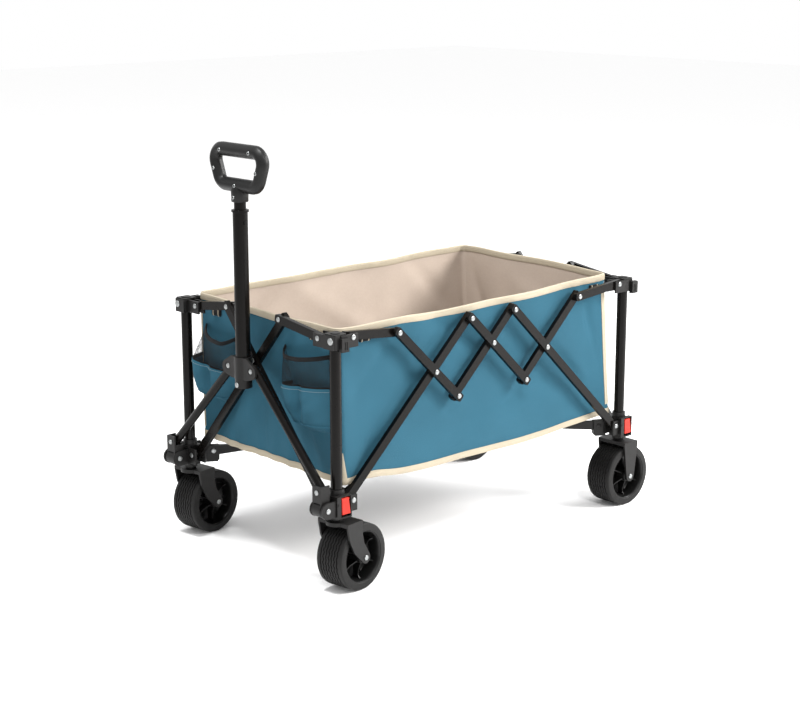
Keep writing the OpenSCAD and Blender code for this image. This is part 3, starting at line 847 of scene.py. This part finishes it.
def make_pouch(side, points, norm):
    """The cloth pouch with a row of stitches near its edge and a welt low on it."""
    sewn = Build(f"pocket_{side}_stitches", "thread")
    line = points[1:-1, 2] + norm[1:-1, 2] * 0.0008
    rise = unit(points[1:-1, 1] - points[1:-1, 2])
    stitches(sewn, line, norm[1:-1, 2], rise, pitch=0.0046, width=0.0009)
    sewn = front_piece(sewn, 60)

    row = int(POCKET_SPOTS[1] * 0.74)
    line = points[2:-2, row] + norm[2:-2, row] * 0.0006
    rise = unit(points[2:-2, row - 1] - points[2:-2, row])
    section = [(0.0016 * math.cos(w), 0.0014 * math.sin(w)) for w in np.arange(6) * math.pi / 3]
    welt = make_trim(f"pocket_{side}_welt", "teal", line, norm[2:-2, row], rise, section, 60)

    pouch, _ = make_sheet(
        f"pocket_{side}", "teal", points, 0.0012, ["bag_wall_front"], with_pieces=[sewn, welt]
    )
    return pouch


def make_pocket(side):
    """A pouch, the net above it, and the webbing on both of their upper edges."""
    across, up = POCKET_SPOTS
    rows = np.array([spline(row, across) for row in POCKETS[side]])
    points = off_wall(spline(rows, up).transpose(1, 0, 2), side)
    _, y, z = points.transpose(2, 0, 1)
    fade = np.sin(np.linspace(0, math.pi, across))[:, None]
    creases = 0.0011 * fade * np.sin(y * 95 + z * 150) * np.sin((z - 0.32) * 30)
    points[:, :, 0] -= creases
    norm = grid_normals(points)
    pouch = make_pouch(side, points, norm)

    top = points[:, 0] - norm[:, 0] * 0.0014
    band = off_wall(spline(BANDS[side], across), side)
    share = np.linspace(0, 1, NET_ROWS)[None, :, None]
    net = band[:, None] * (1 - share) + top[:, None] * share
    net[:, :, 0] -= 0.004 * np.sin(math.pi * share[:, :, 0]) * fade
    _, net_norm = make_sheet(f"pocket_{side}_net", "net", net, 0.0003, [pouch])

    half = BAND_TALL / 2
    section = [
        (0.0012, -half), (0.0018, -half * 0.6), (0.0018, half * 0.6), (0.0012, half),
        (-0.0010, half), (-0.0014, half * 0.6), (-0.0014, -half * 0.6), (-0.0010, -half),
    ]
    rise = unit(net[:, 0] - net[:, 1])
    line = band - rise * half
    make_trim(f"pocket_{side}_band", "webbing", line, net_norm[:, 0], rise, section)

    rise = unit(points[:, 0] - points[:, 2])
    section = [(-0.0030, -0.004), (-0.0016, -0.004), (-0.0016, 0.0035), (-0.0030, 0.0035)]
    make_trim(f"pocket_{side}_hem", "webbing", points[:, 0], norm[:, 0], rise, section)


# ---- Webbing tabs that hold the bag to the top links ----

TAB = [
    (0.0, 0.024), (0.0040, 0.024), (0.0052, 0.020), (0.0056, 0.005),
    (0.0046, 0.0008), (0.0024, 0.0), (0.0006, 0.002), (0.0, 0.006),
]
TAB_LOW = 0.512
TAB_WIDE = 0.028


def make_tabs():
    spots = {
        # wall: (axis along it, starts of its tabs, outward direction, its distance out)
        "left": (0, (-0.366, 0.338), (0, -1, 0), HALF),
        "right": (0, (-0.366, 0.338), (0, 1, 0), HALF),
        "front": (1, (-0.178, 0.150), (-1, 0, 0), -FRONT),
        "rear": (1, (-0.178, 0.150), (1, 0, 0), REAR),
    }
    for name, (axis, starts, way, plane) in spots.items():
        out = np.array(way, float)
        build = Build(f"bag_tabs_{name}", "webbing", "tape")
        for start in starts:
            for low, high, mark, grow in (
                (0.0, TAB_WIDE, 0, 0.0),
                (0.004, 0.006, 1, 0.0003),
                (TAB_WIDE - 0.006, TAB_WIDE - 0.004, 1, 0.0003),
            ):
                line = np.zeros((4, 3))
                line[:, axis] = np.linspace(start + low, start + high, 4)
                line += out * (plane + CLOTH)
                line[:, 2] = TAB_LOW
                section = [(a + grow * (a > 0), b - grow * (b < 0.01)) for a, b in TAB]
                tape_along(build, line, out, np.array([0.0, 0.0, 1.0]), section, mark)
        squash_wall(build.make(WALLS[name][2], 50))


# ---- Floor of the bag ----

BOARD = 0.0055
FLOOR_LOW = 0.2127


def wall_foot(name, axis, at):
    """Where a wall's lower edge stands, as the distance from the middle at the given places."""
    foot = surfaces[name][0][:, 1]
    order = np.argsort(foot[:, axis])
    return np.interp(at, foot[order, axis], foot[order, 1 - axis])


def make_floor_half(side):
    """Half of the quilted board: beige lining above, black cloth below, seams across."""
    sy = -1 if side == "left" else 1
    u = np.linspace(0, 1, 96)[:, None]
    v = np.linspace(0, 1, 28)[None, :]
    gx = FRONT + (REAR + 0.02 - FRONT) * u + 0 * v
    outer = np.abs(wall_foot(side, 0, gx[:, :1])) - 0.0018
    gy = 0.0003 + (outer - 0.0003) * v
    first = wall_foot("front", 1, sy * gy) + 0.0020
    last = wall_foot("rear", 1, sy * gy) - 0.0020
    gx = first + (last - first) * u
    x, y = gx[:, 0], gy[0]
    share = (gx - FRONT) / (REAR - FRONT)
    front = BASE["fl" if sy < 0 else "fr"]
    rear = BASE["rl" if sy < 0 else "rr"]
    edge = front * (1 - share) + rear * share + BASE_SAG[side] * 4 * share * (1 - share)
    to_edge = np.minimum(np.minimum(outer - gy, gx - first), last - gx)
    weight = np.exp(-to_edge / 0.03)
    low = FLOOR_LOW * (1 - weight) + np.maximum(edge + 0.004, FLOOR_LOW) * weight
    puff = np.abs(np.sin((gx - x[0]) / (x[-1] - x[0]) * 4 * math.pi)) ** 0.35
    rim = smoothstep(np.minimum(to_edge, gy) / 0.012)
    high = low + BOARD * (0.7 + 0.3 * puff * rim)
    top = np.stack([gx, sy * gy, high], -1)
    under = np.stack([gx, sy * gy, low], -1)
    flat = np.stack([gx, gy], -1)
    build = Build(f"floor_pad_{side}", "lining", "webbing")
    closed_sheet(build, top, under, flat, flip=sy > 0)
    for k in range(len(x) - 1):
        for j in range(len(y) - 1):
            build.marks[(2 * k + 1) * len(y) + j] = 1
    pad = build.make(f"floor_{side}", 50)
    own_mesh(pad)
    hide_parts(f"floor_board_{side}")


# ---- Wheels ----

WHEEL_R, WHEEL_HALF, RIM_R = 0.071, 0.034, 0.0545
TRAIL = 0.044
TREAD_WAVES = 32
GROOVES = 7
SPOKES = 6
RIB_HALF = 0.0011


def wheel_place(key):
    sx, sy = CORNERS[key]
    place = Matrix.Translation((sx * HALF_X, sy * HALF_Y, WHEEL_R))
    if sx < 0:
        place = place @ Matrix.Rotation(CASTER_TURN, 4, "Z") @ Matrix.Translation((TRAIL, 0, 0))
    return place


def tyre_profile():
    """A grooved tyre's closed (radius, along) profile, and how far each point sways."""
    side = [
        (RIM_R, 0.0015), (RIM_R + 0.0012, 0.0), (WHEEL_R - 0.0045, 0.0),
        (WHEEL_R - 0.0022, 0.0006), (WHEEL_R - 0.0004, 0.0028),
    ]
    outer = [(radius, inset - WHEEL_HALF) for radius, inset in side]
    wave = [0.0] * len(side)
    step = 2 * (WHEEL_HALF - 0.005) / (GROOVES + 1)
    for k in range(GROOVES):
        at = -WHEEL_HALF + 0.005 + step * (k + 1)
        sway = 0.0014 * (1 if k % 2 else 0.6)
        for along, drop in ((-0.0019, 0.0), (-0.0012, 0.0022), (0.0010, 0.0022), (0.0016, 0.0)):
            outer.append((WHEEL_R - drop, at + along))
            wave.append(sway)
    outer += [(radius, WHEEL_HALF - inset) for radius, inset in reversed(side)]
    return outer, wave + [0.0] * len(side)


def mirrored(half):
    """A closed profile from its half on the positive side."""
    return half + [(radius, -along) for radius, along in reversed(half)]


def add_spoke(build, place, turn):
    """A broad dished blade, and a thin rib beside its middle."""
    blade = []
    for radius, spread, thick, dish in (
        (0.0140, 0.45, 0.0065, 0.0),
        (0.0240, 0.36, 0.0055, 0.0020),
        (0.0340, 0.31, 0.0050, 0.0032),
        (0.0430, 0.30, 0.0052, 0.0026),
        (0.0500, 0.34, 0.0062, 0.0008),
    ):
        ring = []
        for w, y in [(k / 2 - 1, -1) for k in range(5)] + [(1 - k / 2, 1) for k in range(5)]:
            at = turn + spread * w
            sunk = dish * (1 - w * w)
            ring.append((radius * math.cos(at), y * (thick - sunk), radius * math.sin(at)))
        blade.append(ring)
    at = build.grid(moved(np.array(blade), place), mark=1, wrap_j=True)
    build.caps(at, 5, 10, 1)
    c, d = math.cos(turn + 0.30), math.sin(turn + 0.30)
    rib = [
        [
            (radius * c - w * RIB_HALF * d, y * tall, radius * d + w * RIB_HALF * c)
            for w, y in ((-1, -1), (1, -1), (1, 1), (-1, 1))
        ]
        for radius, tall in ((0.0140, 0.026), (0.0300, 0.019), (0.0440, 0.017), (0.0500, 0.022))
    ]
    at = build.grid(moved(np.array(rib), place), mark=1, wrap_j=True)
    build.caps(at, 4, 4, 1)


def make_wheel(key):
    place = wheel_place(key)
    build = Build(f"wheel_{key}_tyre", "rubber", "plastic_wheel")
    outer, wave = tyre_profile()
    build.revolve(outer, place, TREAD_WAVES * 8, 0, wave)
    barrel = [(0.0002, 0.0325), (0.0012, 0.0325), (0.0035, 0.0290), (0.0060, 0.0060)]
    build.revolve(mirrored([(RIM_R - depth, along) for depth, along in barrel]), place, 96, 1)
    hub = [(0.0053, 0.0335), (0.0125, 0.0335), (0.0135, 0.0325), (0.0160, 0.0080)]
    build.revolve(mirrored(hub), place, 48, 1)
    for k in range(SPOKES):
        add_spoke(build, place, 2 * math.pi / SPOKES * k + 0.26)
    tyre = build.make(f"wheel_{key}", 32)
    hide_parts(f"wheel_{key}")


# ---- Grip ----

POLE_X = -0.478
GRIP_TUBE = 0.014
GRIP_SCREWS = [(0.048, 0.8872), (-0.048, 0.8872), (0.0695, 0.8480), (-0.0695, 0.8480), (0, 0.8172)]


def rounded_loop(corners, radius, arc):
    """Points and outward directions along a polygon's outline grown by a radius, as (y, z)."""
    out = []
    count = len(corners)
    for i in range(count):
        before, here, after = corners[i - 1], corners[i], corners[(i + 1) % count]
        a = math.atan2(here[1] - before[1], here[0] - before[0]) - math.pi / 2
        b = math.atan2(after[1] - here[1], after[0] - here[0]) - math.pi / 2
        while b < a:
            b += 2 * math.pi
        for k in range(arc + 1):
            w = a + (b - a) * k / arc
            c, d = math.cos(w), math.sin(w)
            out.append((here[0] + radius * c, here[1] + radius * d, c, d))
        span = 9
        c, d = math.cos(b), math.sin(b)
        for k in range(1, span):
            y = here[0] + (after[0] - here[0]) * k / span
            z = here[1] + (after[1] - here[1]) * k / span
            out.append((y + radius * c, z + radius * d, c, d))
    return out


def upright(x, y, z):
    """A place whose Y axis points up, for turning a profile about a vertical line."""
    return Matrix.Translation((x, y, z)) @ Matrix.Rotation(math.pi / 2, 4, "X")


def make_grip():
    build = Build("handle_grip_ring", "grip_black")
    corners = [(-0.045, 0.839), (0.045, 0.839), (0.055, 0.866), (-0.055, 0.866)]
    sides = 28
    rows = []
    for y, z, c, d in rounded_loop(corners, 0.022, 10):
        ring = []
        for k in range(sides):
            w = 2 * math.pi * k / sides
            r = GRIP_TUBE * (1 + 0.05 * math.cos(4 * w))
            if k % (sides // 2) == 0:
                r -= 0.0009
            off = r * math.cos(w)
            ring.append((POLE_X - r * math.sin(w), y + off * c, z + off * d))
        rows.append(ring)
    build.grid(np.array(rows), wrap_i=True, wrap_j=True, flip=True)
    profile = [(0.0128, 0.0), (0.0170, 0.0), (0.0178, 0.0010), (0.0180, 0.018)]
    profile += [(0.0184, 0.024), (0.0150, 0.030), (0.0128, 0.030)]
    build.revolve(profile, upright(POLE_X, 0, 0.784), 56)
    ring = build.make("grip", 40)
    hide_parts("handle_grip")


# ---- Screws ----


def facing(place, direction):
    """A place whose Y axis points along a direction."""
    turn = Vector((0, 1, 0)).rotation_difference(Vector(direction))
    return Matrix.Translation(place) @ turn.to_matrix().to_4x4()


def screw(build, place, direction, radius=0.0054, tall=0.0021):
    """A domed head with a round socket, and a black disc set in the socket as painted shade."""
    profile = [
        (0.0004, 0.0), (radius, 0.0), (radius, tall * 0.4), (radius * 0.92, tall * 0.78),
        (radius * 0.76, tall), (radius * 0.58, tall), (radius * 0.52, tall * 0.8),
        (radius * 0.48, -tall * 0.2), (0.0004, -tall * 0.25),
    ]
    build.revolve(profile, facing(place, direction), 32)
    low, high = tall * 0.1, tall * 0.5
    # painted shade: a black disc inside the socket stands in for the shade deep in its hollow
    socket_shade = [(0.0004, low), (radius * 0.5, low), (radius * 0.5, high), (0.0004, high)]
    build.revolve(socket_shade, facing(place, direction), 24, 1)


def bar_rivets():
    """Outer rivets of the bars as (body, place, direction)."""
    long, mid, short = 0.329, 0.145, 0.092
    turn = math.acos((HALF_X - 0.03) / (long + mid + short))
    c, d = math.cos(turn), math.sin(turn)
    cross = (-0.41 + long * c, 0.195 + long * d)
    top_0 = (cross[0] - mid * c, cross[1] + mid * d)
    top_1 = (cross[0] + mid * c, cross[1] + mid * d)
    low = (cross[0] + short * c, cross[1] - short * d)
    middle = (top_1[0] + short * c, top_1[1] - short * d)
    spots = [("short_front", top_0, 1), ("short_front", cross, 1), ("short_front", low, 1)]
    spots += [("short_rear", top_1, 1), ("short_rear", middle, 1), ("short_rear", low, -1)]
    spots += [("long_rear", top_1, -1), ("long_rear", cross, -1), ("link_rear", top_0, -1)]
    out = []
    for side, sy in (("left", -1), ("right", 1)):
        for part, (x, z), flip in spots:
            out.append((f"{side}_{part}", (flip * x, sy * (HALF_Y + 0.0136), z), (0, sy, 0)))
    turn = math.acos((HALF_Y - 0.03) / 0.336)
    middle = 0.193 + 0.336 * math.sin(turn)
    free = (0.134 * math.cos(turn), middle + 0.134 * math.sin(turn))
    for end, sx in (("front", -1), ("rear", 1)):
        x = sx * (HALF_X + 0.0136)
        out.append((f"{end}_bar_outer", (x, 0, middle), (sx, 0, 0)))
        out.append((f"{end}_bar_outer", (x, free[0], free[1]), (sx, 0, 0)))
        out.append((f"{end}_link_left", (x, -free[0], free[1]), (sx, 0, 0)))
    return out


def corner_screws():
    """Screws of the corner brackets and wheel axles as (body, place, direction, size)."""
    out = []
    for key, (sx, sy) in CORNERS.items():
        body = f"corner_{key}"
        face, side = sx * (HALF_X + 0.0185), sy * (HALF_Y + 0.0185)
        spots = [
            ((sx * (HALF_X - 0.032), side, 0.534), (0, sy, 0)),
            ((sx * (HALF_X - 0.030), side, 0.195), (0, sy, 0)),
            ((face, sy * (HALF_Y - 0.030), 0.193), (sx, 0, 0)),
        ]
        if sx < 0:
            spots.append(((face, sy * (HALF_Y + 0.0065), 0.5305), (-1, 0, 0), 0.0074))
        if sy < 0:
            spots.append(((face, sy * (HALF_Y - 0.033), 0.531), (sx, 0, 0)))
        else:
            spots.append(((sx * (HALF_X + 0.0079), HALF_Y - 0.043, 0.531), (sx, 0, 0)))
        if sx < 0:
            spots.append(((-0.481, sy * (HALF_Y + 0.022), 0.187), (0, sy, 0)))
            spots.append(((-0.481, sy * (HALF_Y - 0.017), 0.187), (0, -sy, 0)))
        out += [(body, *spot) for spot in spots]
        axle = wheel_place(key)
        rider = f"caster_{key}" if sx < 0 else body
        for way in (-1, 1):
            direction = axle.to_3x3() @ Vector((0, way, 0))
            out.append((rider, axle @ Vector((0, way * 0.041, 0)), direction))
    return out


def make_screws():
    spots = bar_rivets() + corner_screws()
    for name, sy in (("left", -1), ("right", 1)):
        spots.append((f"foot_{name}", (-0.4925, sy * HALF_Y, 0.224), (-1, 0, 0)))
        spots.append(("pole", (-0.4888, sy * 0.038, 0.435), (-1, 0, 0)))
    spots.append(("pole", (-0.4958, 0, 0.401), (-1, 0, 0)))
    for y, z in GRIP_SCREWS:
        spots.append(("grip", (POLE_X - 0.0139, y, z), (-1, 0, 0), 0.0040, 0.0012))
    spots.append(("grip", (POLE_X - 0.0174, 0, 0.7939), (-1, 0, 0), 0.0040, 0.0012))
    builds = {}
    for body, place, direction, *size in spots:
        # the second material, black plastic, colours the painted shade in the screws' sockets
        build = builds.setdefault(body, Build(f"screws_{body}", "bolt", "plastic_black"))
        screw(build, place, direction, *size)
    for body, build in builds.items():
        build.make(body, 32)


make_camera()
make_studio()
make_floor()
for wall in WALLS:
    make_wall(wall)
make_corner_tapes()
for pocket in POCKETS:
    make_pocket(pocket)
make_tabs()
for half in ("left", "right"):
    make_floor_half(half)
for corner in CORNERS:
    make_wheel(corner)
make_grip()
make_screws()
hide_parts("bag")
finish_cad()
